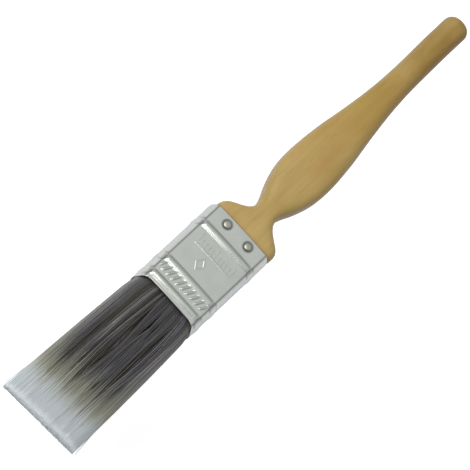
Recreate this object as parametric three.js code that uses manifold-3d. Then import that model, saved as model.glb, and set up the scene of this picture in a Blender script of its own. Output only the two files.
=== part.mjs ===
// A flat one-inch paint brush lying on its back: filament tips towards -X, handle tail towards +X,
// front face up. Millimetres. Inside the brush group, x = 0 is the ferrule's mouth and z = 0 is the
// middle of its thickness.
import * as THREE from "three";
import { ParametricGeometry } from "three/addons/geometries/ParametricGeometry.js";
import { mergeVertices } from "three/addons/utils/BufferGeometryUtils.js";
import Module from "manifold-3d";

// ---- driving dimensions ----
const NOMINAL_WIDTH = 25.4; // the brush's size: the width inside the ferrule
const SHEET = 0.4; // thickness of the ferrule's steel
const GAP = 0.3; // between neighbours that are pressed together on the real brush

const FERRULE_LENGTH = 35.6;
const FERRULE_WIDTH = NOMINAL_WIDTH + 2 * SHEET;
const FERRULE_THICKNESS = 12.4;
const PANEL_WIDTH = 21.8; // the flat of the front and back faces, between the creases
const BEAD_HEIGHT = 0.55;
const SIDE_BEAD_SHARE = 0.35; // how much of that height a bead keeps round the narrow sides
const BEAD_RISE = [0, 0.3, 0.75, 1, 0.75, 0.3, 0]; // a bead's section, as shares of its height
const BEADS = [
  // crest's distance from the mouth, and the bead's half width along the brush
  { crest: 2.5, half: 1.3 },
  { crest: 9.5, half: 1.6 },
  { crest: 27.3, half: 1.5 },
];

const HANDLE_TENON = 11; // length held inside the ferrule
const TENON_CHAMFER = 0.6;
const HANDLE_OUT = 111.6; // length that shows
const BELLY_THICKNESS = FERRULE_THICKNESS + 2 * BEAD_HEIGHT; // so that the brush lies level
const TAIL_DOME = 3.4; // length of the rounded end
const HANDLE_STATIONS = [
  // distance from the ferrule, half width, half thickness
  { at: 3.3, wide: 12.3, thick: 5.45 }, // end of the square shoulders
  { at: 5.2, wide: 11.2, thick: 5.35 },
  { at: 6.9, wide: 8.6, thick: 5.25 },
  { at: 8.9, wide: 6, thick: 5.15 },
  { at: 10.8, wide: 4.6, thick: 5.05 },
  { at: 12.7, wide: 4.2, thick: 5 }, // neck
  { at: 15.7, wide: 4.9, thick: 5.1 },
  { at: 20.2, wide: 6.7, thick: 5.6 },
  { at: 27.2, wide: 8.7, thick: 6.35 },
  { at: 34, wide: 9.25, thick: BELLY_THICKNESS / 2 }, // belly
  { at: 46, wide: 8.45, thick: 6.45 },
  { at: 58, wide: 6.75, thick: 5.65 },
  { at: 70.3, wide: 5.3, thick: 5 },
  { at: 81.6, wide: 4.65, thick: 4.7 },
  { at: 95.7, wide: 4.6, thick: 4.6 },
  { at: HANDLE_OUT - TAIL_DOME, wide: 4.6, thick: 4.6 }, // tail
];
const ROUNDING = { from: 3, to: 16 }; // where the handle turns from the ferrule's outline to an ellipse

const NAIL_FROM_EDGE = 2.9; // centre of a nail to the ferrule's handle edge
const NAIL_SPACING = 9.6;
const NAIL_HEAD_RADIUS = 1.6;
const NAIL_HEAD_GAP = 0.05; // under the head
const NAIL_HEAD_HEIGHT = BEAD_HEIGHT - NAIL_HEAD_GAP; // the heads stand as proud as the beads
const NAIL_SHANK_RADIUS = 0.55;
const NAIL_SHANK_LENGTH = 4.6;
const NAIL_POINT_LENGTH = 1;

const FILAMENT_OUT = 59; // free length, mouth to tips
const BEND_OUT = 2; // the bending axis, outside the mouth
const BEND_REACH = 5.5; // radius that the moving root stays inside
const ROOT_BEVEL = { depth: 1.2, width: 11, thickness: 4.3 }; // end of the moving root, half sizes
const FREE_STATIONS = [
  // distance from the mouth, half width, half thickness
  { at: -ROOT_BEVEL.depth, wide: ROOT_BEVEL.width, thick: ROOT_BEVEL.thickness },
  { at: BEND_OUT, wide: 12.9, thick: BEND_REACH },
  { at: 9, wide: 13.4, thick: 5.8 },
  { at: 22, wide: 14, thick: 5.6 },
  { at: 34, wide: 14.5, thick: 5.1 },
  { at: 46, wide: 14.9, thick: 4.4 },
  { at: FILAMENT_OUT - 1, wide: 15.2, thick: 3.6 },
  { at: FILAMENT_OUT, wide: 14.8, thick: 2.8 },
];
const HALVES_GAP = { mouth: 0.9, tip: 0.15 }; // half the gap between the bundle's halves

const RESIN_THICKNESS = 2.8;
const PLUG_LENGTH = 8.5;
const PLUG_WIDTH = 20.6;
const PLUG_THICKNESS = { deep: 3.6, shallow: 2.4 };

// ---- colours ----
const STEEL = { color: 0xb7bdb9, roughness: 0.32, metalness: 1 };
const NAIL = { color: 0xa9aca6, roughness: 0.3, metalness: 1 };
const BEECH = { color: 0xbf9f62, roughness: 0.42, metalness: 0 };
const FILAMENT = { color: 0x5a575b, roughness: 0.55, metalness: 0 };
const RESIN = { color: 0x8a6a35, roughness: 0.25, metalness: 0 };
const PLUG = { color: 0xc9b083, roughness: 0.7, metalness: 0 };

// ---- derived sizes ----
const INNER_HALF = { width: NOMINAL_WIDTH / 2, thickness: FERRULE_THICKNESS / 2 - SHEET };
const HELD_HALF = { width: INNER_HALF.width - GAP, thickness: INNER_HALF.thickness - GAP };
const TENON_START = FERRULE_LENGTH - HANDLE_TENON;
const RESIN_START = TENON_START - GAP - RESIN_THICKNESS;
const PLUG_END = RESIN_START - GAP;
const ROOT_START = BEND_REACH - BEND_OUT + GAP;

const FLAT_STEPS = 8; // segments across each flat face
const ARC_STEPS = 4; // segments round half of each narrow side
const NAIL_STEPS = 16; // segments round a nail
const DOME_STEPS = 5; // segments from the rim of a dome to its top
const HANDLE_STEPS = 52; // segments along the handle's curve

// ---- sections ----

// The front of the ferrule's outline, as fractions of its half width and half thickness: up one narrow
// side from the lowest height, across the flat face between its creases, and down the other side.
function frontOutline(lowest = 0) {
  const flat = PANEL_WIDTH / 2;
  const wide = FERRULE_WIDTH / 2;
  const high = FERRULE_THICKNESS / 2;
  const bulge = wide - flat;
  const radius = (high * high + bulge * bulge) / (2 * bulge);
  const from = Math.asin((lowest * high) / radius);
  const to = Math.asin(high / radius);
  const side = new THREE.EllipseCurve(wide - radius, 0, radius, radius, from, to).getPoints(ARC_STEPS);
  const face = new THREE.LineCurve(new THREE.Vector2(flat, high), new THREE.Vector2(-flat, high));
  const across = face.getPoints(FLAT_STEPS).slice(1, -1);
  const otherSide = side.map(({ x, y }) => new THREE.Vector2(-x, y)).reverse();
  return [...side, ...across, ...otherSide].map(({ x, y }) => new THREE.Vector2(x / wide, y / high));
}

// A closed ring of points at x. roundness 0 is the ferrule's own outline, and 1 is an ellipse.
function ring(x, halfWidth, halfThickness, roundness = 0) {
  const front = frontOutline().slice(0, -1);
  const back = front.map((point) => point.clone().negate());
  return [...front, ...back].map((point) => {
    const pull = 1 - roundness + roundness / point.length();
    return new THREE.Vector3(x, halfWidth * point.x * pull, halfThickness * point.y * pull);
  });
}

// The part of a ring above a lowest height, closed by a flat face.
function frontRing(x, halfWidth, halfThickness, lowest) {
  return frontOutline(lowest / halfThickness).map(
    (point) => new THREE.Vector3(x, halfWidth * point.x, halfThickness * point.y),
  );
}

function middle(points) {
  const sum = points.reduce((total, point) => total.add(point), new THREE.Vector3());
  return sum.divideScalar(points.length);
}

// A closed skin through rings of equal point counts, given from -X to +X. A capped skin ends in flat
// faces, and an open one joins its last ring to its first, which makes a sleeve.
function skin(rings, capped = true) {
  const first = rings[0];
  const last = rings[rings.length - 1];
  const around = first.length;
  const cap = (points) => Array(around).fill(middle(points));
  const rows = capped ? [cap(first), ...rings, cap(last)] : [...rings, first];
  const surface = new ParametricGeometry(
    (u, v, target) => {
      const row = rows[Math.round(v * (rows.length - 1))];
      target.copy(row[Math.round(u * around) % around]);
    },
    around,
    rows.length - 1,
  );
  return plain(surface);
}

// The bare closed mesh of a geometry, with its shared vertices merged.
function plain(geometry) {
  geometry.deleteAttribute("normal");
  geometry.deleteAttribute("uv");
  return mergeVertices(geometry);
}

// ---- boolean cuts ----
const wasm = await Module();
wasm.setup();

function solidOf(geometry) {
  const mesh = new wasm.Mesh({
    numProp: 3,
    vertProperties: Float32Array.from(geometry.attributes.position.array),
    triVerts: Uint32Array.from(geometry.index.array),
  });
  return new wasm.Manifold(mesh);
}

function cut(geometry, cutters) {
  const solid = cutters.reduce((rest, cutter) => rest.subtract(solidOf(cutter)), solidOf(geometry));
  const { vertProperties, triVerts } = solid.getMesh();
  return new THREE.BufferGeometry()
    .setAttribute("position", new THREE.BufferAttribute(vertProperties, 3))
    .setIndex(new THREE.BufferAttribute(triVerts, 1));
}

// Four round cutters where the nails pass, from the surface down to their points.
function nailHoles() {
  const radius = NAIL_SHANK_RADIUS + GAP;
  const deepest = FERRULE_THICKNESS / 2 - NAIL_SHANK_LENGTH - GAP;
  const highest = FERRULE_THICKNESS;
  return nailPlaces().map(({ x, y, face }) => {
    const hole = new THREE.CylinderGeometry(radius, radius, highest - deepest, NAIL_STEPS);
    hole.rotateX(Math.PI / 2);
    hole.translate(x, y, (face * (highest + deepest)) / 2);
    return plain(hole);
  });
}

// ---- pieces ----
function ferruleGeometry() {
  const outer = [ring(0, FERRULE_WIDTH / 2, FERRULE_THICKNESS / 2)];
  for (const bead of BEADS) {
    BEAD_RISE.forEach((share, i) => {
      const x = bead.crest + bead.half * ((2 * i) / (BEAD_RISE.length - 1) - 1);
      const lift = share * BEAD_HEIGHT;
      outer.push(ring(x, FERRULE_WIDTH / 2 + lift * SIDE_BEAD_SHARE, FERRULE_THICKNESS / 2 + lift));
    });
  }
  outer.push(ring(FERRULE_LENGTH, FERRULE_WIDTH / 2, FERRULE_THICKNESS / 2));
  const inner = [FERRULE_LENGTH, 0].map((x) => ring(x, INNER_HALF.width, INNER_HALF.thickness));
  return cut(skin([...outer, ...inner], false), nailHoles());
}

// One curve through the handle's stations: x from the ferrule, y the half width, z the half thickness.
function handleCurve() {
  const root = new THREE.Vector3(0, HELD_HALF.width, HELD_HALF.thickness);
  const shown = HANDLE_STATIONS.map(({ at, wide, thick }) => new THREE.Vector3(at, wide, thick));
  return new THREE.CatmullRomCurve3([root, ...shown]);
}

// x = 0 is the ferrule's handle edge.
function handleGeometry() {
  const { width, thickness } = HELD_HALF;
  const rings = [
    ring(-HANDLE_TENON, width - TENON_CHAMFER, thickness - TENON_CHAMFER),
    ring(TENON_CHAMFER - HANDLE_TENON, width, thickness),
  ];
  const stations = handleCurve().getPoints(HANDLE_STEPS);
  for (const { x, y, z } of stations) {
    rings.push(ring(x, y, z, THREE.MathUtils.smoothstep(x, ROUNDING.from, ROUNDING.to)));
  }
  const tail = stations[stations.length - 1];
  const dome = new THREE.EllipseCurve(0, 0, TAIL_DOME, 1, Math.PI / 2, 0, true).getPoints(DOME_STEPS);
  for (const { x, y } of dome.slice(1, -1)) {
    rings.push(ring(tail.x + x, tail.y * y, tail.z * y, 1));
  }
  const tip = dome[dome.length - 1].x;
  rings.push(Array(rings[0].length).fill(new THREE.Vector3(tail.x + tip, 0, 0)));
  const geometry = skin(rings);
  const holes = nailHoles().map((hole) => hole.translate(-FERRULE_LENGTH, 0, 0));
  return cut(geometry, holes);
}

function nailGeometry() {
  const profile = [
    [0, -NAIL_SHANK_LENGTH],
    [NAIL_SHANK_RADIUS, NAIL_POINT_LENGTH - NAIL_SHANK_LENGTH],
    [NAIL_SHANK_RADIUS, NAIL_HEAD_GAP],
    [NAIL_HEAD_RADIUS, NAIL_HEAD_GAP],
  ].map(([radius, height]) => new THREE.Vector2(radius, height));
  const dome = new THREE.EllipseCurve(0, NAIL_HEAD_GAP, NAIL_HEAD_RADIUS, NAIL_HEAD_HEIGHT, 0, Math.PI / 2);
  const domePoints = dome.getPoints(DOME_STEPS).slice(1, -1);
  const top = new THREE.Vector2(0, NAIL_HEAD_GAP + NAIL_HEAD_HEIGHT);
  return plain(new THREE.LatheGeometry([...profile, ...domePoints, top], NAIL_STEPS));
}

// The front half's free length. The other half is the same solid turned over.
function freeHalfGeometry() {
  const rings = FREE_STATIONS.map(({ at, wide, thick }) => {
    const share = Math.max(at, 0) / FILAMENT_OUT;
    const lowest = THREE.MathUtils.lerp(HALVES_GAP.mouth, HALVES_GAP.tip, share);
    return frontRing(-at, wide, thick, lowest);
  });
  return skin(rings.reverse());
}

// The front half's held length, between the plug and the ferrule's front wall.
function heldHalfGeometry() {
  const lowest = PLUG_THICKNESS.deep / 2 + GAP;
  const rings = [ROOT_START, PLUG_END].map((x) =>
    frontRing(x, HELD_HALF.width, HELD_HALF.thickness, lowest),
  );
  return skin(rings);
}

function resinGeometry() {
  const rings = [0, RESIN_THICKNESS].map((x) => ring(x, HELD_HALF.width, HELD_HALF.thickness));
  return skin(rings);
}

// A wedge with a rounded nose towards the mouth, drawn from the side and extruded across the brush.
function plugGeometry() {
  const deep = PLUG_THICKNESS.deep / 2;
  const nose = PLUG_THICKNESS.shallow / 2;
  const side = new THREE.Shape();
  side.moveTo(0, -deep);
  side.lineTo(0, deep);
  side.lineTo(nose - PLUG_LENGTH, nose);
  side.absarc(nose - PLUG_LENGTH, 0, nose, Math.PI / 2, (3 * Math.PI) / 2, false);
  const solid = new THREE.ExtrudeGeometry(side, { depth: PLUG_WIDTH, bevelEnabled: false, curveSegments: 8 });
  solid.rotateX(Math.PI / 2);
  solid.translate(0, PLUG_WIDTH / 2, 0);
  return plain(solid);
}

// ---- assembly ----
const brush = new THREE.Group();

function place(name, geometry, finish, position = [0, 0, 0], turnedOver = false) {
  const mesh = new THREE.Mesh(geometry, new THREE.MeshStandardMaterial(finish));
  mesh.name = name;
  mesh.position.set(...position);
  mesh.rotation.x = turnedOver ? Math.PI : 0;
  brush.add(mesh);
}

// face 1 is the front of the brush, and -1 the back. Left is +Y.
function nailPlaces() {
  const x = FERRULE_LENGTH - NAIL_FROM_EDGE;
  const y = NAIL_SPACING / 2;
  return [
    { name: "nail_front_left", x, y, face: 1 },
    { name: "nail_front_right", x, y: -y, face: 1 },
    { name: "nail_back_left", x, y, face: -1 },
    { name: "nail_back_right", x, y: -y, face: -1 },
  ];
}

place("handle", handleGeometry(), BEECH, [FERRULE_LENGTH, 0, 0]);
place("ferrule", ferruleGeometry(), STEEL);
for (const { name, x, y, face } of nailPlaces()) {
  const upright = nailGeometry().rotateX(Math.PI / 2);
  place(name, upright, NAIL, [x, y, (face * FERRULE_THICKNESS) / 2], face < 0);
}
place("spacer_plug", plugGeometry(), PLUG, [PLUG_END, 0, 0]);
place("resin_setting", resinGeometry(), RESIN, [RESIN_START, 0, 0]);
place("filament_root_front", heldHalfGeometry(), FILAMENT);
place("filament_root_back", heldHalfGeometry(), FILAMENT, [0, 0, 0], true);
place("filament_front", freeHalfGeometry(), FILAMENT);
place("filament_back", freeHalfGeometry(), FILAMENT, [0, 0, 0], true);

// The part's origin is under the middle of the whole brush, on the surface it lies on.
brush.position.set((FILAMENT_OUT - FERRULE_LENGTH - HANDLE_OUT) / 2, 0, BELLY_THICKNESS / 2);

export default new THREE.Group().add(brush);
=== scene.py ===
"""Looks of a flat one-inch paint brush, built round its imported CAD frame.

The brush lies on its back: filament tips towards -X, handle tail towards +X, front face up.
Shapes are drawn in millimetres with x = 0 at the ferrule's mouth and z = 0 in the middle of the
brush's thickness, and to_frame() puts them where the CAD says, in metres.
"""
import math

import bpy
import numpy as np
from mathutils import Matrix, Vector


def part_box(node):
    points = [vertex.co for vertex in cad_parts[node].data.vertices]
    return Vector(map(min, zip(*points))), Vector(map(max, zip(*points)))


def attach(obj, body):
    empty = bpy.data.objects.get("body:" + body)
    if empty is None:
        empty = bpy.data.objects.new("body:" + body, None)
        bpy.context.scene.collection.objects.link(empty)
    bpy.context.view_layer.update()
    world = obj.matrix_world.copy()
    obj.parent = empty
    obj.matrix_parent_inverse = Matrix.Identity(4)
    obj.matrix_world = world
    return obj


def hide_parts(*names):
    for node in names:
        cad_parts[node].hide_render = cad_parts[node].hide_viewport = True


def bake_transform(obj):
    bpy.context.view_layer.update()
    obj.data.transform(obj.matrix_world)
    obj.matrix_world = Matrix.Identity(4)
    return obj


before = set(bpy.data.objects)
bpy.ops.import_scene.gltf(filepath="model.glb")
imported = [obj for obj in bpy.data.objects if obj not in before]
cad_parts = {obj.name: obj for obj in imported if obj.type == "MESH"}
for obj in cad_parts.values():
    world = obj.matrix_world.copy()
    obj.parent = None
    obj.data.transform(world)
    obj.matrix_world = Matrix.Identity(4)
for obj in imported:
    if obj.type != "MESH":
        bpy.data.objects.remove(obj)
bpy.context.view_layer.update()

# ---- sizes from the frame, in millimetres ----
MM = 0.001
FERRULE_LOW, FERRULE_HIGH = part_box("ferrule")
MOUTH = FERRULE_LOW.x  # metres, in the frame
MIDDLE = (FERRULE_LOW.z + FERRULE_HIGH.z) / 2  # metres, in the frame


def along_brush(place):
    """How far a place of the frame is from the ferrule's mouth, in millimetres towards the tail."""
    return (place.x - MOUTH) / MM


FERRULE_LENGTH = along_brush(FERRULE_HIGH)
TAIL = along_brush(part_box("handle")[1])
TENON = along_brush(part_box("handle")[0])
ROOT_END = along_brush(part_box("filament_root_front")[1])
TIP = -along_brush(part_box("filament_front")[0])
PLUG_MOUTH_END = along_brush(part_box("spacer_plug")[0])
PLUG_HALF = (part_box("spacer_plug")[1].z - MIDDLE) / MM

# ---- ferrule ----
SHEET = 0.4
BEAD_HEIGHT = 0.55
SIDE_BEAD = 0.19  # how proud a bead stands on the narrow sides
HALF_WIDTH = (FERRULE_HIGH.y - FERRULE_LOW.y) / 2 / MM - SIDE_BEAD
HALF_THICKNESS = (FERRULE_HIGH.z - FERRULE_LOW.z) / 2 / MM - BEAD_HEIGHT
CREASE = 10.9  # from the middle to the fold between a flat face and a narrow side
FOLD_ROUNDING = 0.9
FOLD_DEPTH = 0.25  # a point this far below a face and this far past the crease still counts as face
FOLD_REACH = 0.3
CROWN = 0.38  # how far the middle of a flat face stands above its folds
CROWN_DEPTH = 0.6  # the crown lifts only what is less than this below a flat face
BEADS = [(2.5, 1.35), (9.5, 1.55), (27.3, 1.55)]  # crest, half width
BEAD_POWER = 1.4  # of a bead's profile: 1 is a parabola, and more softens its feet
BEAD_SINKS = (-1.5, -0.3)  # it sinks to its height on the sides between these places past the fold
INNER_BEAD = 0.8  # depth of a bead inside the sheet, for each millimetre of its height outside
PINCH = 0.45  # how deep a bead dents the fold that it crosses
PINCH_HALF = 0.8  # half width of that dent
FACE_ENDS = (-1.2, -0.5)  # pressed marks fade out between these places before the fold
RIM_REACH = 3.0  # the rims curve outwards over this length
RIM_TURNS = (-2.5, 3.5)  # and between these places past the fold
MOUTH_SAG = 1.7  # how much further the narrow sides reach than the faces, at the mouth
HEEL_SAG = 0.15  # and at the handle
EDGE_STATIONS = [0.0, 0.04, 0.1, 0.18, 0.28]  # distances from a rim: its edge is rounded up to the last
BODY_ENDS = (0.4, 0.35)  # the even rows of points begin and end this far from the rims
EDGE_DROP = 0.16  # how far the edge is rounded down
RIBS = {
    "start": 5.2,
    "end": 8.6,
    "rise": 0.4,  # length over which a rib rises
    "fade": 1.1,  # and over which it fades
    "pitch": 2.13,
    "slant": 0.466,  # how far a rib moves across the brush for each millimetre along it
    "height": 0.32,
    "half": 0.55,
}
DOTS = {"at": 5.25, "height": 0.15, "radius": 0.7}
TICKS = {
    "count": 11,
    "pitch": 1.5,
    "start": 20.4,
    "long": 3.8,
    "short": 2.4,
    "long_every": 5,
    "half": 0.36,
    "height": 0.17,
    "base_height": 0.14,
    "base_fade": 0.3,  # half the length over which the base line fades at its ends
    "start_fade": 0.7,  # and over which a tick rises from the base line
    "end_fade": 0.5,  # and over which it fades at its end
}
DIAMOND = {"x": 16.0, "y": 1.5, "long": 2.3, "wide": 1.6, "height": 0.13, "half": 0.42}
SEAM = {"y": -5.6, "lap": 0.14, "fade": 3.0, "groove": 0.16, "half": 0.3}
DIMPLE = {"depth": 0.07, "inner": 1.5, "outer": 2.2}
WAVES = {"count": 7, "shortest": 5, "longest": 14, "height": 0.008}
SHADE_AMOUNT = {  # how much painted shade darkens the steel in each recess, where 1 is the most
    "rib_foot": 0.65,
    "fold": 0.8,
    "crossing": 0.2,  # more, where a bead crosses the fold
    "knuckle": 0.5,  # beside a bead, on the narrow sides
    "groove": 0.7,
    "dimple": 0.9,
}
SHADE_HALF = {"rib_foot": 0.3, "fold": 0.52, "crossing": 0.3, "knuckle": 0.7}  # half widths
RIM_SHADE = (0.05, 0.2)  # painted shade darkens a rim up to the first distance, and none is painted from the second on
BEAD_MARGIN = 0.3  # a bead's crossing reaches this far past it
KNUCKLE_STARTS = (-0.3, 0.5)  # places past the fold between which the painted shade beside the beads comes in
KNUCKLE_ENDS = (0.8, 3.0)  # and fade out
OUTLINE_POINTS = 2400
FERRULE_AROUND = 430
FERRULE_STEP = 0.175
INNER_ROWS = 12

# ---- nails ----
NAIL = {"radius": 1.42, "height": 0.42, "shank": 0.55, "length": 4.6, "rim": 0.1}
NAIL_DOME = {"rings": 15, "power": 0.85, "pole": 0.02}  # a power below 1 makes it fuller than a ball
NAIL_AROUND = 48
NAIL_SHADE = {"from": 0.35, "to": 0.05, "height": 0.3}  # painted shade darkens the head near its rim, up to this height

# ---- handle ----
TAIL_DOME = {"length": 3.4, "rings": 18, "power": 0.75, "pole": 0.02}
HANDLE_AROUND = 112
HANDLE_STEP = 0.5
CAD_RING = 20  # a cross section of the CAD handle has at least this many points
SKEW = [  # distance out of the ferrule, shift towards +Y: the handle sits a little askew, as in the photo
    (-4, 0.0),
    (0, -0.25),
    (3, -0.85),
    (8, -1.3),
    (12, -1.0),
    (20, -0.82),
    (34, -0.5),
    (100, 0.8),
]
SQUARENESS = [  # distance out of the ferrule, power of the section's curve: 2 is an ellipse
    (3, 4.0),
    (9, 2.9),
    (14, 2.9),
    (22, 3.8),
    (35, 3.6),
    (50, 2.9),
    (80, 2.15),
]

# ---- filaments ----
STRANDS = 2600  # in each half of the bundle
CLUMPS = 170
COLUMNS = 256  # strands share this many colours, side by side
SECTIONS = [  # distance out of the mouth, half width, half thickness
    (-ROOT_END, 12.1, 5.2),
    (-4.0, 11.9, 5.0),
    (-0.5, 11.6, 4.6),
    (2.0, 12.5, 5.2),
    (6.0, 13.1, 5.5),
    (11.0, 13.35, 5.6),
    (24.0, 13.95, 5.35),
    (38.0, 14.45, 4.6),
    (51.0, 14.8, 3.1),
    (TIP, 15.0, 1.15),
]
PARTING = [(-ROOT_END, PLUG_HALF + 0.3), (-PLUG_MOUTH_END, PLUG_HALF), (0.0, 0.9), (TIP, 0.08)]
PARTING_ENDS = (0.7, 0.93)  # the parting closes between these shares of the half width
STRAND_RADIUS = [(-ROOT_END, 0.13), (0.0, 0.13), (30.0, 0.12), (50.0, 0.12), (TIP - 1, 0.125), (TIP, 0.1)]
THINNEST = 0.85  # strand, as a share of that radius
THICKEST = 1.2
STRAND_STATIONS = [TIP, TIP - 1, 51.0, 45.0, 38.0, 31.0, 24.0, 17.0, 11.0, 6.0, 2.0, -0.5, -ROOT_END]
CORNER_POWER = 5  # of the bundle's section: 2 is an ellipse, and more makes squarer corners
ON_FACES = {"share": 0.3, "from": 0.9}  # this share of the strands lies on the faces, from here outwards
ON_SIDES = {"share": 0.08, "from": 0.95}  # and this one on the narrow sides
TRIM = {"mean": 0.45, "most": 4}  # how much shorter the strands are than the longest
CHISEL = 0.9  # how much shorter the strands at the faces are than those in the middle
OVERHANG = 0.1  # how far the longest strands in the middle of the tips' line pass the CAD's tip
ASKEW = 0.95  # how much further they reach at the +Y side, and less at the -Y side
SWAY = 0.35  # how far the tips lean to +Y
CONVERGE = 0.09  # how much the strands on the faces close in, while the bundle's sides flare
LOOSE = (4, 44)  # distances out of the mouth between which the strands come loose from the bundle's shape
CLUMP_DRIFT = {"spread": 0.5, "settles": (40, 55), "by": 0.6}  # clumps drift apart, less at their tips
CLUMP_CROSS = {"spread": 0.8, "middle": 24}  # and swing across each other in the middle
CLUMP_LIFT = {"spread": 0.2, "middle": 26}  # and stand up or sink there
STRAND_DRIFT = 0.42  # spread of each strand's own drift across the brush
STRAND_RUFFLE = 0.1  # and of its own lift
GATHER = 0.05  # how much the strands close in on the middle of their clump
HALF_BUNDLE = (14, 5)  # rough half width and thickness, for finding the clump that is nearest to a strand
CLEAR = 0.05  # the strands' centre lines stay this far from the brush's middle plane
STRAYS = {"outside": 0.9, "share": 0.025, "least": 0.2, "most": 1.3, "from": 44, "past_tip": 4}
COLUMN_MIX = 0.03  # how far strands swap their places in the row of colours
COLUMN_EDGE = 0.1  # share of a column's width left free at each side
LENGTH_EDGE = 0.01  # share of the texture left free at each end of the strands
FLAT_TURN = (36, 54)  # between these distances the strands turn a flat outwards
TIP_SHEEN = {  # the pale tips are shaded as one surface
    "amount": 0.85,
    "outer": (0.4, 1.0),  # none nearer the brush's middle plane than this, and all of it from here on
    "lean": 0.3,  # how far that surface leans outwards at the narrow sides
}

# ---- colours, linear ----
BEECH_TONES = [  # share of the handle's length, colour
    (0.0, (0.43, 0.305, 0.105)),
    (0.13, (0.37, 0.26, 0.074)),
    (0.24, (0.395, 0.272, 0.083)),
    (0.36, (0.38, 0.255, 0.069)),
    (0.6, (0.36, 0.235, 0.048)),
    (0.9, (0.25, 0.145, 0.016)),
]
BEECH = {
    "grain": (0.25, 0.145, 0.035),
    "fleck": (0.2, 0.11, 0.025),
    "cloud": (0.5, 0.37, 0.15),
    "patch": (0.34, 0.17, 0.04),
    "stain_and_shade": (0.25, 0.1, 0.03),
}
STAIN_AND_SHADE_LENGTH = 1.6  # the wood is darkened this far from the ferrule: partly a real stain, partly painted shade where it meets the ferrule
FERRULE_TINT = (0.71, 0.745, 0.7)
FERRULE_ROUGHNESS = 0.28
NAIL_TINT = (0.52, 0.52, 0.45)
NAIL_ROUGHNESS = 0.4
WORN = 0.93  # how bright a smudge on the steel is, beside clean steel
# painted shade: the steel's colour turns towards this in its recesses, at its rims and inside the sleeve
SHADE_COLOUR = (0.1, 0.1, 0.09)
FILAMENT_DARKS = [  # value of the clump's noise, colour
    (0.38, (0.06, 0.056, 0.04)),
    (0.46, (0.067, 0.065, 0.067)),
    (0.54, (0.064, 0.062, 0.084)),
    (0.62, (0.096, 0.095, 0.094)),
]
FILAMENT = {
    "side": (0.34, 0.34, 0.33),
    "tan": (0.278, 0.283, 0.226),
    "pale": (0.436, 0.478, 0.512),
    "tip": (0.62, 0.67, 0.72),
}
TAN_SPAN = (0.682, 0.865)  # each colour comes in between these shares of a strand's length
PALE_SPAN = (0.828, 0.912)
# painted light: the last millimetre is paler than the rest of the pale tips, to offset the shade on their
# cut ends
LIT_TIP_SPAN = (0.966, 0.988)
AMBER = (0.3, 0.17, 0.05)
DARK_AMBER = (0.13, 0.07, 0.025)
SAWN = (0.62, 0.48, 0.28)
SAWN_GRAIN = (0.42, 0.28, 0.13)
FLOOR_SEEN = (0.72, 0.72, 0.78)  # the floor, for the camera and in the steel
WHITE = (1, 1, 1, 1)

# ---- stage, in metres ----
FLOOR = -0.045  # below the tips when they are bent down as far as they go
FLOOR_HALF = 4.0
FLOOR_BOUNCE = 0.38  # how much of the light the floor gives back to the brush
FLOOR_GLOW = 0.55  # lifts the floor towards white for the camera only
HORIZON = 0.42  # strength of the room's light from the horizon
ZENITH = 0.69  # and from straight above
ZENITH_RISE = 0.9  # reached at this height of the direction
BRIGHT_SIDE = 0.43  # the room is brightest round this X of the direction, which the front panel mirrors
DIM_REACH = 0.6  # and dims by this far to either side of it
DIM_SIDE = 0.7  # to this share
BACKDROP = 0.92  # strength of the room as the camera sees it
LAMP = {"place": (-0.4, 0.66, 1.1), "width": 0.8, "length": 1.0, "tint": (1, 0.985, 0.93)}
KEY_POWER = 11.3
FILL_POWER = 6.4
CAMERA = {
    "tilt": 26.4,  # degrees from square to the front face, towards the tips
    "lean": 1.25,  # degrees towards +Y
    "roll": 43.03,  # degrees that the brush rises from level in the picture
    "distance": 2.5,
    "sensor": 36,
    "shown": 0.1496,  # width of the picture at the brush
    "aim": 0.0446,  # the camera looks this far from the mouth along the brush
    "left": 0.00645,  # then this far left in the picture
    "down": 0.00516,
}

rng = np.random.default_rng(25)


# ---- shapes ----
def to_frame(points):
    """Points in this script's millimetres, as points of the frame in metres."""
    return np.asarray(points, float) * MM + np.array([MOUTH, 0.0, MIDDLE])


def smoothstep(low, high, value):
    share = np.clip((np.asarray(value, float) - low) / (high - low), 0, 1)
    return share * share * (3 - 2 * share)


def bump(distance, half):
    """1 at distance 0, falling smoothly to 0 at half."""
    return np.where(np.abs(distance) < half, np.cos(np.pi / 2 * distance / half) ** 2, 0.0)


def table_at(table, value, column=1):
    """A value read from rows of (place, values...), straight between the rows."""
    rows = np.array(table, float)
    return np.interp(value, rows[:, 0], rows[:, column])


def smooth_line(values, window, rounds=2):
    """A moving average that keeps the line's ends."""
    kernel = np.ones(2 * window + 1) / (2 * window + 1)
    for _ in range(rounds):
        padded = np.pad(values, window, mode="reflect", reflect_type="odd")
        values = np.convolve(padded, kernel, mode="valid")
    return values


def even_loop(loop, count):
    """A closed line of (y, z) points sampled again at even steps, and its length."""
    closed = np.vstack([loop, loop[:1]])
    length = np.concatenate([[0], np.cumsum(np.linalg.norm(np.diff(closed, axis=0), axis=1))])
    at = np.linspace(0, length[-1], count, endpoint=False)
    return np.stack([np.interp(at, length, closed[:, i]) for i in (0, 1)], 1), length[-1]


def sharp_outline():
    """(y, z) points of two bulging narrow sides and two flat faces, with sharp folds between them."""
    half = OUTLINE_POINTS // 12
    bulge = HALF_WIDTH - CREASE
    radius = (HALF_THICKNESS**2 + bulge**2) / (2 * bulge)
    sweep = math.asin(HALF_THICKNESS / radius)
    turns = np.linspace(-sweep, sweep, 2 * half)
    side = np.stack([HALF_WIDTH - radius + radius * np.cos(turns), radius * np.sin(turns)], 1)
    across = np.linspace(CREASE, -CREASE, 2 * half)[1:-1]
    front = np.stack([across, HALF_THICKNESS + 0 * across], 1)
    return np.vstack([side[half:], front, -side, -front, side[:half]])


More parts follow.
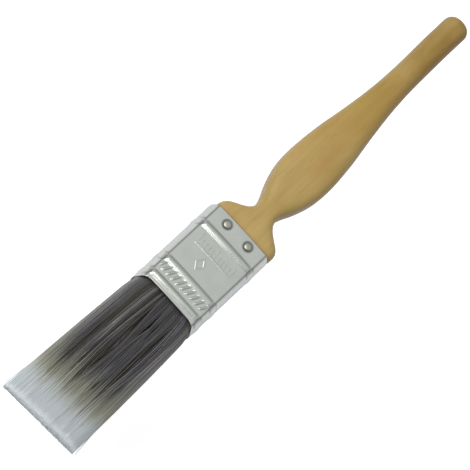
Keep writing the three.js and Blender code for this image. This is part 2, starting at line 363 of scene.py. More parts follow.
def ferrule_outline(count):
    """(y, z) points round the ferrule's outside, from the middle of its +Y side, with normals."""
    points, around = even_loop(sharp_outline(), OUTLINE_POINTS)
    window = int(FOLD_ROUNDING / around * len(points))
    reach = range(-window, window + 1)
    points = sum(np.roll(points, shift, axis=0) for shift in reach) / len(reach)
    points, around = even_loop(points, count)
    crown = CROWN * (1 - np.clip(points[:, 0] / CREASE, -1, 1) ** 2)
    above = np.abs(points[:, 1]) - HALF_THICKNESS
    points[:, 1] += crown * np.sign(points[:, 1]) * smoothstep(-CROWN_DEPTH, 0, above)
    tangent = np.roll(points, -1, axis=0) - np.roll(points, 1, axis=0)
    tangent /= np.linalg.norm(tangent, axis=1)[:, None]
    return points, np.stack([tangent[:, 1], -tangent[:, 0]], 1)


# ---- meshes ----
def new_piece(name, points, faces, corner_uv, material):
    """A smooth mesh object from points in millimetres, with UVs in the OFBake layer."""
    mesh = bpy.data.meshes.new(name)
    mesh.from_pydata(to_frame(points).tolist(), [], faces)
    layer = mesh.uv_layers.new(name="OFBake")
    layer.data.foreach_set("uv", np.asarray(corner_uv, np.float32).ravel())
    mesh.materials.append(material)
    mesh.shade_smooth()
    mesh.update()
    piece = bpy.data.objects.new(name, mesh)
    bpy.context.scene.collection.objects.link(piece)
    return piece


def skin(name, rings, material, sleeve=False):
    """A closed skin through rings of points, given along +X and turning from +Y to +Z. A sleeve joins
    its last ring to its first, and any other skin is capped."""
    rows, around = rings.shape[:2]
    strips = rows if sleeve else rows - 1
    row, column = np.meshgrid(np.arange(strips), np.arange(around), indexing="ij")
    next_row, next_column = (row + 1) % rows, (column + 1) % around
    corners = [(row, column), (row, next_column), (next_row, next_column), (next_row, column)]
    faces = np.stack([r * around + c for r, c in corners], -1).reshape(-1, 4).tolist()
    u = np.stack([column, column + 1, column + 1, column], -1) / around
    v = np.stack([row, row, row + 1, row + 1], -1) / rows
    uv = np.stack([u, v], -1).reshape(-1, 2)
    if not sleeve:
        turn = np.linspace(0, 2 * math.pi, around, endpoint=False)
        cap = 0.01 * np.stack([np.cos(turn), np.sin(turn)], 1) + 0.5
        faces.append(list(range(around))[::-1])
        faces.append(list(range((rows - 1) * around, rows * around)))
        uv = np.vstack([uv, cap, cap])
    return new_piece(name, rings.reshape(-1, 3), faces, uv, material)


def add_painted_shade(piece, values):
    """Marks how much painted shade each point gets, from 0 to 1: the steel's colour is darker and its
    surface rougher there.
    """
    layer = piece.data.attributes.new("painted_shade", "FLOAT", "POINT")
    layer.data.foreach_set("value", np.asarray(values, np.float32).ravel())


# ---- materials ----
class Shader:
    """The nodes of a material or of the world, with short calls that add and join them."""

    def __init__(self, owner, surface="Principled BSDF"):
        self.owner = owner
        self.owner.use_nodes = True
        self.tree = self.owner.node_tree
        self.surface = self.tree.nodes[surface]

    def feed(self, node, inputs):
        for key, value in inputs.items():
            if isinstance(value, bpy.types.NodeSocket):
                self.tree.links.new(value, node.inputs[key])
            else:
                node.inputs[key].default_value = value
        return node

    def add(self, kind, inputs, **settings):
        node = self.tree.nodes.new(kind)
        for key, value in settings.items():
            setattr(node, key, value)
        return self.feed(node, inputs)

    def place(self):
        return self.add("ShaderNodeTexCoord", {}).outputs["Object"]

    def split(self, vector):
        return self.add("ShaderNodeSeparateXYZ", {"Vector": vector}).outputs

    def noise(self, vector, scale, stretch=(1, 1, 1), detail=3.0):
        """Noise over a place in metres, with scale in cells per metre."""
        mapped = self.add("ShaderNodeMapping", {"Vector": vector, "Scale": stretch})
        inputs = {"Vector": mapped.outputs["Vector"], "Scale": scale, "Detail": detail}
        return self.add("ShaderNodeTexNoise", inputs).outputs["Fac"]

    def noise_1d(self, value, scale, detail=2.0):
        inputs = {"W": value, "Scale": scale, "Detail": detail}
        return self.add("ShaderNodeTexNoise", inputs, noise_dimensions="1D").outputs["Fac"]

    def calc(self, operation, a, b=0.0):
        return self.add("ShaderNodeMath", {0: a, 1: b}, operation=operation).outputs[0]

    def spread(self, value, low, high, out_low=0.0, out_high=1.0):
        """value, moved from low..high to out_low..out_high and kept inside it."""
        inputs = {"Value": value, "From Min": low, "From Max": high, "To Min": out_low, "To Max": out_high}
        return self.add("ShaderNodeMapRange", inputs).outputs["Result"]

    def ramp(self, factor, stops):
        node = self.add("ShaderNodeValToRGB", {"Fac": factor})
        elements = node.color_ramp.elements
        while len(elements) < len(stops):
            elements.new(0.5)
        for element, (position, colour) in zip(elements, stops):
            element.position = position
            element.color = (*colour, 1)
        return node.outputs["Color"]

    def mix(self, factor, a, b, blend="MIX"):
        """Colour a where factor is 0, and b where it is 1."""
        a, b = [(*colour, 1) if isinstance(colour, tuple) else colour for colour in (a, b)]
        node = self.add("ShaderNodeMix", {0: factor, 6: a, 7: b}, data_type="RGBA", blend_type=blend)
        return node.outputs[2]

    def grey(self, value):
        return self.add("ShaderNodeCombineColor", {0: value, 1: value, 2: value}).outputs[0]

    def bump(self, height, distance, strength=1.0):
        inputs = {"Height": height, "Distance": distance, "Strength": strength}
        return self.add("ShaderNodeBump", inputs).outputs["Normal"]

    def finish(self, inputs):
        self.feed(self.surface, inputs)
        return self.owner


def material_shader(name):
    return Shader(bpy.data.materials.new(name))


def beech():
    """Pale lacquered beech: long soft grain, short dark ray flecks, darker towards the tail."""
    s = material_shader("lacquered_beech")
    place = s.place()
    start = MOUTH + FERRULE_LENGTH * MM
    end = MOUTH + TAIL * MM
    along = s.split(place)["X"]
    drift = s.spread(s.noise(place, 30, (0.5, 1, 1), 2), 0.3, 0.7, -0.12, 0.12)
    toning = s.calc("ADD", s.spread(along, start, end), drift)
    colour = s.ramp(toning, BEECH_TONES)
    grain = s.noise(place, 700, (0.06, 1, 1), 5)
    colour = s.mix(s.spread(grain, 0.4, 0.75, 0, 0.28), colour, BEECH["grain"])
    flecks = s.noise(place, 1500, (0.16, 1, 0.6), 1)
    colour = s.mix(s.spread(flecks, 0.6, 0.76, 0, 0.22), colour, BEECH["fleck"])
    cloud = s.noise(place, 130, (0.35, 1, 1), 3)
    colour = s.mix(s.spread(cloud, 0.45, 0.7, 0, 0.35), colour, BEECH["cloud"])
    elsewhere = s.add("ShaderNodeVectorMath", {0: place, 1: (0.3, 0.1, 0.2)}).outputs[0]
    patches = s.noise(elsewhere, 110, (0.5, 1, 1), 3)
    colour = s.mix(s.spread(patches, 0.5, 0.72, 0, 0.3), colour, BEECH["patch"])
    # partly a real stain, partly painted shade, beside the ferrule
    stain_and_shade = s.spread(along, start, start + STAIN_AND_SHADE_LENGTH * MM, 0.35, 0)
    colour = s.mix(stain_and_shade, colour, BEECH["stain_and_shade"])
    smudge = s.noise(place, 160)
    return s.finish({
        "Base Color": colour,
        "Roughness": s.spread(smudge, 0.3, 0.7, 0.36, 0.5),
        "Coat Weight": 0.22,
        "Coat Roughness": 0.25,
        "Normal": s.bump(grain, 0.00004, 0.5),
    })


def steel(name, tint, roughness):
    """Rolled bright sheet: fine rolling lines, faint smudges, and painted shade in the recesses, which are
    also rougher.
    """
    s = material_shader(name)
    place = s.place()
    smudge = s.noise(place, 210, detail=4)
    lines = s.noise(place, 2600, (1, 0.04, 0.3), 2)
    painted_shade = s.add("ShaderNodeAttribute", {}, attribute_name="painted_shade").outputs["Fac"]
    worn = tuple(WORN * c for c in tint)
    clean = s.mix(s.spread(smudge, 0.35, 0.7), tint, worn)
    rough = s.spread(smudge, 0.3, 0.7, roughness - 0.04, roughness + 0.06)
    # painted shade: the base colour darkens where the shade attribute is set
    return s.finish({
        "Base Color": s.mix(s.calc("MULTIPLY", painted_shade, 0.8), clean, SHADE_COLOUR),
        "Metallic": 1.0,
        "Roughness": s.calc("ADD", rough, s.calc("MULTIPLY", painted_shade, 0.2)),
        "Normal": s.bump(lines, 0.00001, 0.04),
    })


def dark_filament(s, clump, streak, single):
    """Dark greys with violet and olive streaks, each strand lighter or darker than its neighbours."""
    from_streak = s.spread(streak, 0.35, 0.65, 0.35, 1.7)
    from_single = s.spread(single, 0.2, 0.8, 0.45, 1.6)
    shade = s.calc("MULTIPLY", from_streak, from_single)
    return s.mix(1.0, s.ramp(clump, FILAMENT_DARKS), s.grey(shade), "MULTIPLY")


def filament():
    """Dark filaments that turn tan and then white towards the tips. The colour follows the strand's
    column (u) and the place along the strand (v)."""
    s = material_shader("filament")
    uv = s.split(s.add("ShaderNodeUVMap", {}, uv_map="OFBake").outputs["UV"])
    column = s.calc("DIVIDE", s.calc("FLOOR", s.calc("MULTIPLY", uv["X"], COLUMNS)), COLUMNS)
    along = uv["Y"]
    clump = s.noise_1d(column, 22)
    streak = s.noise_1d(s.calc("ADD", column, 3.7), 48, 3)
    single = s.noise_1d(s.calc("ADD", column, 9.1), COLUMNS * 1.7, 0)
    from_middle = s.calc("ABSOLUTE", s.calc("SUBTRACT", uv["X"], 0.5))
    edge = s.spread(from_middle, 0.4, 0.49)
    wander = s.calc("ADD", s.spread(clump, 0.3, 0.7, -0.03, 0.03), s.spread(streak, 0.3, 0.7, -0.05, 0.05))
    wander = s.calc("ADD", wander, s.spread(single, 0.2, 0.8, -0.06, 0.06))
    wander = s.calc("ADD", wander, s.calc("MULTIPLY", edge, 0.05))
    reach = s.calc("ADD", along, wander)
    calm_reach = s.calc("ADD", along, s.calc("MULTIPLY", wander, 0.4))
    colour = dark_filament(s, clump, streak, single)
    colour = s.mix(s.calc("MULTIPLY", edge, 0.7), colour, FILAMENT["side"])
    colour = s.mix(s.spread(reach, *TAN_SPAN), colour, FILAMENT["tan"])
    colour = s.mix(s.spread(calm_reach, *PALE_SPAN), colour, FILAMENT["pale"])
    # painted light on the strands' cut ends
    colour = s.mix(s.spread(along, *LIT_TIP_SPAN), colour, FILAMENT["tip"])
    return s.finish({
        "Base Color": colour,
        "Roughness": s.spread(single, 0.2, 0.8, 0.38, 0.55),
        "Specular IOR Level": 0.4,
    })


def resin():
    """Set amber resin, cloudy, with fine bubbles."""
    s = material_shader("setting_resin")
    place = s.place()
    cloud = s.noise(place, 260)
    bubbles = s.noise(place, 2200, detail=1)
    return s.finish({
        "Base Color": s.mix(s.spread(cloud, 0.35, 0.7), AMBER, DARK_AMBER),
        "Roughness": s.spread(cloud, 0.3, 0.7, 0.15, 0.35),
        "Normal": s.bump(bubbles, 0.00005, 0.5),
    })


def sawn_wood():
    """Bare sawn softwood with saw marks across the grain."""
    s = material_shader("plug_wood")
    place = s.place()
    grain = s.noise(place, 500, (0.08, 1, 1), 4)
    marks = s.noise(place, 1600, (1, 0.1, 0.1), 2)
    return s.finish({
        "Base Color": s.mix(s.spread(grain, 0.35, 0.7), SAWN, SAWN_GRAIN),
        "Roughness": s.spread(marks, 0.3, 0.7, 0.65, 0.85),
        "Normal": s.bump(marks, 0.00008, 0.6),
    })


# ---- the ferrule ----
def middle_of(node):
    """(x, y, z) of the middle of a CAD node, in this script's millimetres."""
    low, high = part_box(node)
    middle = (low + high) / 2
    return along_brush(middle), middle.y / MM, (middle.z - MIDDLE) / MM


def past_fold_at(y, z):
    """How far a point of the outline lies past its fold: below 0 on a flat face, above 0 on a side."""
    on_face = (HALF_THICKNESS - np.abs(z) < FOLD_DEPTH) & (np.abs(y) < CREASE + FOLD_REACH)
    return np.where(on_face, np.abs(y) - CREASE, HALF_THICKNESS - np.abs(z))


def bead_relief(x, past_fold):
    """Three raised beads with rounded ends, that dent the folds and run on low round the sides."""
    low = SIDE_BEAD / BEAD_HEIGHT
    pillow = low + (1 - low) * (1 - smoothstep(*BEAD_SINKS, past_fold))
    height = 0
    for crest, half in BEADS:
        shape = np.clip(1 - ((x - crest) / half) ** 2, 0, 1) ** BEAD_POWER
        height = height + shape * (BEAD_HEIGHT * pillow - PINCH * bump(past_fold, PINCH_HALF))
    return height


def rib_offset(x, y):
    """How far a point lies from the nearest rib's crest, measured across the brush."""
    turn = (y + RIBS["slant"] * (x - RIBS["start"])) / RIBS["pitch"]
    return (turn - np.round(turn)) * RIBS["pitch"]


def rib_span(x):
    """1 along the ribs, falling to 0 at their ends."""
    started = smoothstep(RIBS["start"], RIBS["start"] + RIBS["rise"], x)
    ended = smoothstep(RIBS["end"] - RIBS["fade"], RIBS["end"], x)
    return started * (1 - ended)


def rib_relief(x, y):
    """A band of slanted ribs, each starting at a round dot."""
    ribs = RIBS["height"] * bump(rib_offset(x, y), RIBS["half"]) * rib_span(x)
    beside = y - np.round(y / RIBS["pitch"]) * RIBS["pitch"]
    dots = DOTS["height"] * bump(np.hypot(x - DOTS["at"], beside), DOTS["radius"])
    return np.maximum(ribs, dots)


def tick_relief(x, y):
    """A plain row of measuring ticks on a base line."""
    last = (TICKS["count"] - 1) / 2
    start = TICKS["start"]
    reach = last * TICKS["pitch"] + TICKS["half"]
    base_span = 1 - smoothstep(reach - TICKS["base_fade"], reach + TICKS["base_fade"], np.abs(y))
    height = TICKS["base_height"] * bump(x - start, TICKS["half"]) * base_span
    started = smoothstep(start - TICKS["start_fade"], start + TICKS["start_fade"], x)
    for index in range(TICKS["count"]):
        is_long = index % TICKS["long_every"] == 0
        end = start + (TICKS["long"] if is_long else TICKS["short"])
        ended = smoothstep(end - TICKS["end_fade"], end + TICKS["end_fade"], x)
        line = bump(y - (index - last) * TICKS["pitch"], TICKS["half"])
        height = np.maximum(height, TICKS["height"] * line * started * (1 - ended))
    return height


def diamond_relief(x, y):
    """The outline of a diamond."""
    ring = np.abs(x - DIAMOND["x"]) / DIAMOND["long"] + np.abs(y - DIAMOND["y"]) / DIAMOND["wide"]
    return DIAMOND["height"] * bump((ring - 1) * DIAMOND["wide"], DIAMOND["half"])


def seam_lap(y):
    """The lapped seam along the back: a step at the sheet's edge, that fades out beyond it."""
    return np.where(y < SEAM["y"], 1 - smoothstep(0, SEAM["fade"], SEAM["y"] - y), 0)


def waviness(x, y):
    """Slight unevenness of thin pressed sheet."""
    height = 0
    for _ in range(WAVES["count"]):
        wave = rng.uniform(WAVES["shortest"], WAVES["longest"])
        turn = rng.uniform(0, math.pi)
        phase = rng.uniform(0, 2 * math.pi)
        height = height + np.sin(2 * math.pi / wave * (x * math.cos(turn) + y * math.sin(turn)) + phase)
    return WAVES["height"] * height


def rim_shift(x, side):
    """How far the curved rims move a point along the brush."""
    at_mouth = (1 - smoothstep(0, RIM_REACH, x)) * MOUTH_SAG
    at_heel = smoothstep(FERRULE_LENGTH - RIM_REACH, FERRULE_LENGTH, x) * HEEL_SAG
    return (at_heel - at_mouth) * side


def dimple_depth(x, y, on_face):
    """1 in the dimples round the nails, and 0 outside them."""
    depth = 0
    for node in ("nail_front_left", "nail_front_right"):
        nail_x, nail_y, _ = middle_of(node)
        away = np.hypot(x - nail_x, y - nail_y)
        depth = depth + on_face * (1 - smoothstep(DIMPLE["inner"], DIMPLE["outer"], away))
    return depth


def ferrule_painted_shade(x, y, past_fold, on_face, groove_shade):
    """How much painted shade each point of the ferrule's outside gets, from 0 to 1: at the ribs' feet, in
    the folds, beside the beads and at the rims. The last argument holds the painted shade of the seam's
    groove and the dimples."""
    crossing = sum(bump(x - crest, half + BEAD_MARGIN) for crest, half in BEADS)
    rib_foot = bump(rib_offset(x, y) + RIBS["half"], SHADE_HALF["rib_foot"]) * rib_span(x) * on_face
    fold = bump(past_fold, SHADE_HALF["fold"] + SHADE_HALF["crossing"] * crossing)
    painted_shade = SHADE_AMOUNT["rib_foot"] * rib_foot + (SHADE_AMOUNT["fold"] + SHADE_AMOUNT["crossing"] * crossing) * fold
    beside_fold = smoothstep(*KNUCKLE_STARTS, past_fold) * (1 - smoothstep(*KNUCKLE_ENDS, past_fold))
    for crest, half in BEADS:
        knuckle = beside_fold * bump(np.abs(x - crest) - half, SHADE_HALF["knuckle"])
        painted_shade = painted_shade + SHADE_AMOUNT["knuckle"] * knuckle
    rim = 1 - smoothstep(*RIM_SHADE, np.minimum(x, FERRULE_LENGTH - x))
    return np.clip(painted_shade + groove_shade + rim, 0, 1)


def ferrule(material):
    """One sleeve of sheet: its outside, pressed and rounded at the rims, and its plainer inside."""
    outline, normal = ferrule_outline(FERRULE_AROUND)
    y, z = outline[None, :, 0], outline[None, :, 1]
    body = np.arange(BODY_ENDS[0], FERRULE_LENGTH - BODY_ENDS[1], FERRULE_STEP)
    heel = [FERRULE_LENGTH - distance for distance in EDGE_STATIONS[::-1]]
    x = np.concatenate([EDGE_STATIONS, body, heel])[:, None]
    past_fold = past_fold_at(y, z)
    on_face = 1 - smoothstep(*FACE_ENDS, past_fold)
    front = on_face * (z > 0)
    back = on_face * (z < 0)

    dimples = dimple_depth(x, y, on_face)
    groove = bump(y - SEAM["y"], SEAM["half"])
    marks = np.maximum(tick_relief(x, y), diamond_relief(x, y))
    relief = bead_relief(x, past_fold) + rib_relief(x, y) * on_face + front * marks
    relief = relief + back * (SEAM["lap"] * seam_lap(y) - SEAM["groove"] * groove)
    relief = relief - DIMPLE["depth"] * dimples + on_face * waviness(x, y)
    edge = np.minimum(x, FERRULE_LENGTH - x)
    relief = relief - EDGE_DROP * np.clip(1 - edge / EDGE_STATIONS[-1], 0, 1) ** 2
    # painted shade in the seam's groove and round the nails' dimples
    groove_shade = SHADE_AMOUNT["groove"] * back * groove + SHADE_AMOUNT["dimple"] * np.minimum(dimples * 2, 1)
    painted_shade = ferrule_painted_shade(x, y, past_fold, on_face, groove_shade)

    inner_x = np.linspace(FERRULE_LENGTH, 0, INNER_ROWS)[:, None]
    inner_relief = bead_relief(inner_x, past_fold) * INNER_BEAD - SHEET
    side = smoothstep(*RIM_TURNS, past_fold)
    rings = []
    for places, out in ((x, relief), (inner_x, inner_relief)):
        moved = places + rim_shift(places, side)
        rings.append(np.stack([moved, y + normal[:, 0] * out, z + normal[:, 1] * out], -1))
    piece = skin("ferrule_finished", np.concatenate(rings), material, sleeve=True)
    # painted shade: the inside of the sleeve is shaded throughout
    add_painted_shade(piece, np.concatenate([painted_shade, np.ones((INNER_ROWS, FERRULE_AROUND))]))
    return piece


# ---- the nails ----
def nail_profile():
    """(radius, height) from the nail's point, up its shank and under its head, to the top of the dome."""
    radius, rim, shank, length = NAIL["radius"], NAIL["rim"], NAIL["shank"], NAIL["length"]
    point = [(0.04, -length), (0.3, -length + 0.5), (shank, -length + 1.1)]
    neck = [(shank, -0.75), (shank + 0.2, -0.55), (radius - 0.25, -0.3), (radius - 0.05, -0.22)]
    dome = []
    for turn in np.linspace(0, math.pi / 2, NAIL_DOME["rings"]):
        rise = (NAIL["height"] + rim) * math.sin(turn) ** NAIL_DOME["power"]
        dome.append((max(radius * math.cos(turn), NAIL_DOME["pole"]), rise - rim))
    return point + neck + dome


def nail(node, material):
    """A domed nail that sits in its dimple. Its profile turns round an axis square to the ferrule's face."""
    profile = nail_profile()
    turns = np.linspace(0, 2 * math.pi, NAIL_AROUND, endpoint=False)
    rings = np.array([[(r * math.cos(t), r * math.sin(t), h) for t in turns] for r, h in profile])
    rings[..., 2] += HALF_THICKNESS + CROWN
    x, y, z = middle_of(node)
    if z < 0:
        rings[..., 1:] *= -1
    rings[..., :2] += x, y
    piece = skin(node + "_finished", rings, material)
    # painted shade round the rim of the head
    shade = []
    for radius, height in profile:
        at_rim = smoothstep(NAIL["radius"] - NAIL_SHADE["from"], NAIL["radius"] - NAIL_SHADE["to"], radius)
        shade.append([float(at_rim) if height < NAIL_SHADE["height"] else 0.0] * NAIL_AROUND)
    add_painted_shade(piece, shade)
    return piece


# ---- the handle ----
def handle_profile(x):
    """Half width and half thickness of the CAD handle at each x, smoothed."""
    points = np.array([v.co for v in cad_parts["handle"].data.vertices], float)
    points = (points - np.array([MOUTH, 0, MIDDLE])) / MM
    places, members = np.unique(np.round(points[:, 0], 2), return_inverse=True)
    counts = np.bincount(members)
    before_dome = places < TAIL - TAIL_DOME["length"] + 0.1
    rings = [i for i in range(len(places)) if counts[i] >= CAD_RING and before_dome[i]]
    halves = []
    for axis in (1, 2):
        largest = [np.abs(points[members == i, axis]).max() for i in rings]
        halves.append(smooth_line(np.interp(x, places[rings], largest), 1))
    return halves


def handle():
    """Turned and sanded beech: soft-edged sections along the CAD profile, and a flattened tail dome."""
    dome_start = TAIL - TAIL_DOME["length"]
    straight = np.arange(TENON, dome_start, HANDLE_STEP)
    half_width, half_thickness = handle_profile(straight)
    dome = np.linspace(0, math.pi / 2, TAIL_DOME["rings"])[1:]
    x = np.concatenate([straight, dome_start + TAIL_DOME["length"] * np.sin(dome)])
    shrink = np.clip(np.cos(dome), 0, 1) ** TAIL_DOME["power"]
    shrink[-1] = TAIL_DOME["pole"]
    half_width = np.concatenate([half_width, half_width[-1] * shrink])
    half_thickness = np.concatenate([half_thickness, half_thickness[-1] * shrink])
    out = x - FERRULE_LENGTH
    power = table_at(SQUARENESS, out)[:, None]
    turn = np.linspace(0, 2 * math.pi, HANDLE_AROUND, endpoint=False)[None, :]
    reach = (np.abs(np.cos(turn)) ** power + np.abs(np.sin(turn)) ** power) ** (-1 / power)
    skew = smooth_line(table_at(SKEW, out), 2)[:, None]
    y = half_width[:, None] * reach * np.cos(turn) + skew
    z = half_thickness[:, None] * reach * np.sin(turn)
    rings = np.stack([x[:, None] + 0 * y, y, z], -1)
    return skin("handle_finished", rings, beech())


# ---- the filaments ----
def packed_places(count):
    """Places in a half bundle: a from -1 to 1 across it, b from 0 at the parting to 1 at the face."""
    a = rng.uniform(-1, 1, count)
    b = rng.uniform(0, 1, count)
    pick = rng.uniform(0, 1, count)
    b = np.where(pick < ON_FACES["share"], rng.uniform(ON_FACES["from"], 1, count), b)
    a = np.where(pick > 1 - ON_SIDES["share"], np.sign(a) * rng.uniform(ON_SIDES["from"], 1, count), a)
    over = (np.abs(a) ** CORNER_POWER + b**CORNER_POWER) ** (1 / CORNER_POWER)
    return a / np.maximum(over, 1), b / np.maximum(over, 1)


def trimmed_stations(a, b):
    """How far out of the mouth each strand's stations are, as its tip is cut a little short or long."""
    out = np.array(STRAND_STATIONS)[None, :]
    trim = np.minimum(rng.exponential(TRIM["mean"], STRANDS), TRIM["most"]) - OVERHANG - ASKEW * a
    trim = trim + CHISEL * b**2
    return np.where(out > 0, out * (TIP - trim[:, None]) / TIP, out)


def strand_paths(front):
    """Centre lines of the strands of one half, (strand, station, xyz), from tip to root."""
    a, b = packed_places(STRANDS)
    out = trimmed_stations(a, b)
    across, deep = a[:, None], b[:, None]
    half_width = table_at(SECTIONS, out)
    half_height = table_at(SECTIONS, out, 2)
    parting = table_at(PARTING, out) * (1 - smoothstep(*PARTING_ENDS, np.abs(across)))

    seeds = rng.uniform((-1, 0), (1, 1), (CLUMPS, 2))
    gaps = np.hypot((across - seeds[:, 0]) * HALF_BUNDLE[0], (deep - seeds[:, 1]) * HALF_BUNDLE[1])
    clump = gaps.argmin(1)

    def clump_spread(spread):
        """A random shift for each clump, shared by its strands."""
        return rng.normal(0, spread, CLUMPS)[clump][:, None]

    def belly(middle):
        """1 at middle, falling to 0 at the mouth and as far beyond."""
        return bump(out - middle, middle)

    inside = 1 - across**6
    loose = smoothstep(*LOOSE, out)
    settle = 1 - CLUMP_DRIFT["by"] * smoothstep(*CLUMP_DRIFT["settles"], out)
    drift = clump_spread(CLUMP_DRIFT["spread"]) * loose * settle
    cross = clump_spread(CLUMP_CROSS["spread"]) * belly(CLUMP_CROSS["middle"])
    own = rng.normal(0, STRAND_DRIFT, STRANDS)[:, None] * loose
    gather = GATHER * loose * (seeds[clump, 0][:, None] - across) * half_width
    y = across * half_width + (drift + cross + own + gather) * inside
    is_stray = (np.abs(a) > STRAYS["outside"]) & (rng.uniform(0, 1, STRANDS) < STRAYS["share"])
    stray = np.where(is_stray, rng.uniform(STRAYS["least"], STRAYS["most"], STRANDS), 0) * np.sign(a)
    y = y + stray[:, None] * smoothstep(STRAYS["from"], TIP + STRAYS["past_tip"], out)
    y = y + SWAY * (np.maximum(out, 0) / TIP) ** 2
    y = y - CONVERGE * y * deep**4 * loose * inside
    lift = clump_spread(CLUMP_LIFT["spread"]) * belly(CLUMP_LIFT["middle"]) * deep
    ruffle = rng.normal(0, STRAND_RUFFLE, STRANDS)[:, None] * loose
    z = parting + deep * (half_height - parting) + lift + ruffle
    return np.stack([-out, y, front * np.maximum(z, CLEAR)], -1), a


def strand_strips():
    """The strand, the station and the side of every strip between two stations."""
    rows = len(STRAND_STATIONS) - 1
    return np.meshgrid(np.arange(STRANDS), np.arange(rows), np.arange(3), indexing="ij")


def strand_faces():
    """Corners of every face: the strips along the strands, then the cut tips, then the roots."""
    strand, row, side = strand_strips()
    stations = len(STRAND_STATIONS)
    index = (strand * stations + row) * 3
    turned = (side + 1) % 3
    strips = np.stack([index + side, index + turned, index + 3 + turned, index + 3 + side], -1)
    first = np.arange(STRANDS)[:, None] * stations * 3
    tips = first + np.array([2, 1, 0])
    roots = first + (stations - 1) * 3 + np.array([0, 1, 2])
    return strips.reshape(-1, 4).tolist() + tips.tolist() + roots.tolist()


def strand_uv(column):
    """UVs of every face's corners. A strand stays inside its own column, and off the texture's edges."""
    strand, row, side = strand_strips()
    along = (np.array(STRAND_STATIONS) + ROOT_END) / (TIP + ROOT_END)
    along = LENGTH_EDGE + (1 - 2 * LENGTH_EDGE) * along
    used = 1 - 2 * COLUMN_EDGE
    left = (column[strand] + COLUMN_EDGE + used * side / 3) / COLUMNS
    right = (column[strand] + COLUMN_EDGE + used * (side + 1) / 3) / COLUMNS
    u = np.stack([left, right, right, left], -1).reshape(-1)
    v = np.stack([along[row], along[row], along[row + 1], along[row + 1]], -1).reshape(-1)
    end_u = np.repeat((column + 0.5) / COLUMNS, 3)
    u = np.concatenate([u, end_u, end_u])
    v = np.concatenate([v, np.full(STRANDS * 3, along[0]), np.full(STRANDS * 3, along[-1])])
    return np.stack([u, v], -1)


def sheen_normals(paths, a, corners, settled, front):
    """Normals that shade the pale tips of the outer strands more as one surface than one by one."""
    outwards = np.stack([0 * a, TIP_SHEEN["lean"] * a, np.full(STRANDS, front)], -1)[:, None, None, :]
    outer = smoothstep(*TIP_SHEEN["outer"], np.abs(paths[:, 0, 2]))[:, None]
    merge = (TIP_SHEEN["amount"] * outer * settled)[:, :, None, None]
    normals = corners * (1 - merge) + outwards * merge
    normals[:, 0, :, 0] -= 1  # the cut ends face out along the strand
    return normals.reshape(-1, 3).tolist()


def filament_half(name, front, material):
    """Thousands of tapered three-sided strands, from the resin to the tips, as one piece."""
    paths, a = strand_paths(front)
    radius = table_at(STRAND_RADIUS, np.array(STRAND_STATIONS))
    radius = radius * rng.uniform(THINNEST, THICKEST, (STRANDS, 1))
    settled = smoothstep(*FLAT_TURN, np.array(STRAND_STATIONS))
    twist = rng.uniform(-math.pi / 3, math.pi / 3, (STRANDS, 1)) * (1 - settled)
    flat_outwards = front * math.pi / 6
    turns = (flat_outwards + twist)[:, :, None] + np.arange(3) * 2 * math.pi / 3
    corners = np.stack([0 * turns, np.cos(turns), np.sin(turns)], -1)
    points = paths[:, :, None, :] + radius[:, :, None, None] * corners
    order = np.argsort(np.argsort(a + rng.normal(0, COLUMN_MIX, STRANDS)))
    column = np.floor(order / STRANDS * COLUMNS)
    piece = new_piece(name, points.reshape(-1, 3), strand_faces(), strand_uv(column), material)
    normals = sheen_normals(paths, a, corners, settled, front)
    piece.data.normals_split_custom_set_from_vertices(normals)
    return piece


# ---- the stage ----
def add_floor():
    mesh = bpy.data.meshes.new("floor")
    corners = [(x * FLOOR_HALF, y * FLOOR_HALF, 0) for x, y in ((-1, -1), (1, -1), (1, 1), (-1, 1))]
    mesh.from_pydata(corners, [], [(0, 1, 2, 3)])
    floor = bpy.data.objects.new("floor", mesh)
    floor.location.z = FLOOR
    bpy.context.scene.collection.objects.link(floor)
    s = material_shader("floor")
    path = s.add("ShaderNodeLightPath", {}).outputs
    mesh.materials.append(s.finish({
        "Base Color": s.mix(path["Is Diffuse Ray"], FLOOR_SEEN, (FLOOR_BOUNCE, FLOOR_BOUNCE, FLOOR_BOUNCE)),
        "Roughness": 0.9,
        "Emission Color": WHITE,
        "Emission Strength": s.calc("MULTIPLY", path["Is Camera Ray"], FLOOR_GLOW),
    }))


def add_softbox(name, power, mirrored):
    """An area light that looks at the middle of the brush, with its length across it. One that isn't
    mirrored lights the brush without adding to the steel's highlights."""
    light = bpy.data.lights.new(name, "AREA")
    light.shape = "RECTANGLE"
    light.size = LAMP["width"]
    light.size_y = LAMP["length"]
    light.energy = power
    light.color = LAMP["tint"]
    softbox = bpy.data.objects.new(name, light)
    softbox.location = LAMP["place"]
    softbox.visible_glossy = mirrored
    softbox.rotation_euler = (-Vector(LAMP["place"])).to_track_quat("-Z", "Y").to_euler()
    bpy.context.scene.collection.objects.link(softbox)


def add_room():
    """Pale light all round, stronger from above, and from the side that the front panel mirrors."""
    s = Shader(bpy.data.worlds.new("room"), "Background")
    direction = s.split(s.add("ShaderNodeTexCoord", {}).outputs["Generated"])
    height = s.spread(direction["Z"], 0, ZENITH_RISE, HORIZON, ZENITH)
    apart = s.calc("ABSOLUTE", s.calc("SUBTRACT", direction["X"], BRIGHT_SIDE))
    light = s.calc("MULTIPLY", height, s.spread(apart, 0, DIM_REACH, 1, DIM_SIDE))
    seen = s.add("ShaderNodeLightPath", {}).outputs["Is Camera Ray"]
    strength = s.add("ShaderNodeMix", {"Factor": seen, "A": light, "B": BACKDROP}).outputs["Result"]
    bpy.context.scene.world = s.finish({"Color": WHITE, "Strength": strength})


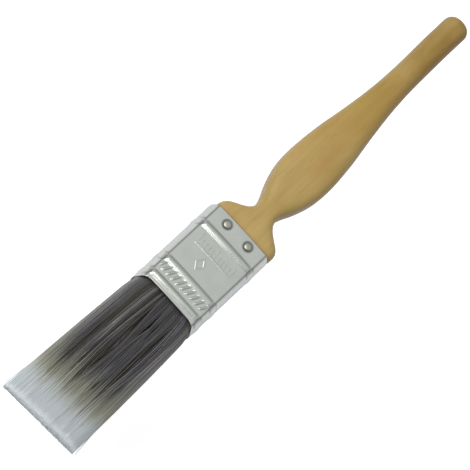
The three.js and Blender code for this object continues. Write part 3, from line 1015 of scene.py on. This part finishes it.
def add_camera():
    """Looks down on the front face from the tips' side, with the brush rising to the upper right."""
    tilt, lean, roll = [math.radians(CAMERA[turn]) for turn in ("tilt", "lean", "roll")]
    away = Vector((-math.sin(tilt) * math.cos(lean), math.sin(lean), math.cos(tilt) * math.cos(lean)))
    along = (Vector((1, 0, 0)) - away * away.x).normalized()
    across = away.cross(along)
    right = along * math.cos(roll) - across * math.sin(roll)
    up = along * math.sin(roll) + across * math.cos(roll)
    aim = Vector((MOUTH + CAMERA["aim"], 0, MIDDLE)) - right * CAMERA["left"] - up * CAMERA["down"]
    data = bpy.data.cameras.new("camera")
    data.sensor_width = CAMERA["sensor"]
    data.lens = CAMERA["sensor"] * CAMERA["distance"] / CAMERA["shown"]
    camera = bpy.data.objects.new("camera", data)
    turned = Matrix([right, up, away]).transposed().to_4x4()
    turned.translation = aim + away * CAMERA["distance"]
    camera.matrix_world = turned
    bpy.context.scene.collection.objects.link(camera)
    bpy.context.scene.camera = camera


# ---- the brush ----
def place_piece(piece, node):
    """Puts a piece that doesn't move in the place of its CAD node."""
    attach(piece, "root")
    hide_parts(node)


ferrule_steel = steel("ferrule_steel", FERRULE_TINT, FERRULE_ROUGHNESS)
place_piece(ferrule(ferrule_steel), "ferrule")

nail_steel = steel("nail_steel", NAIL_TINT, NAIL_ROUGHNESS)
for node in ("nail_front_left", "nail_front_right", "nail_back_left", "nail_back_right"):
    place_piece(nail(node, nail_steel), node)

place_piece(handle(), "handle")

filament_finish = filament()
for half, front in (("front", 1), ("back", -1)):
    filament_piece = filament_half(f"filaments_{half}", front, filament_finish)
    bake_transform(filament_piece)
    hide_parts(f"filament_{half}", f"filament_root_{half}")

for node, finish in (("resin_setting", resin()), ("spacer_plug", sawn_wood())):
    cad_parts[node].data.materials.clear()
    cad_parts[node].data.materials.append(finish)

add_floor()
add_softbox("key", KEY_POWER, mirrored=True)
add_softbox("fill", FILL_POWER, mirrored=False)
add_room()
add_camera()
bpy.context.scene.view_settings.view_transform = "Standard"
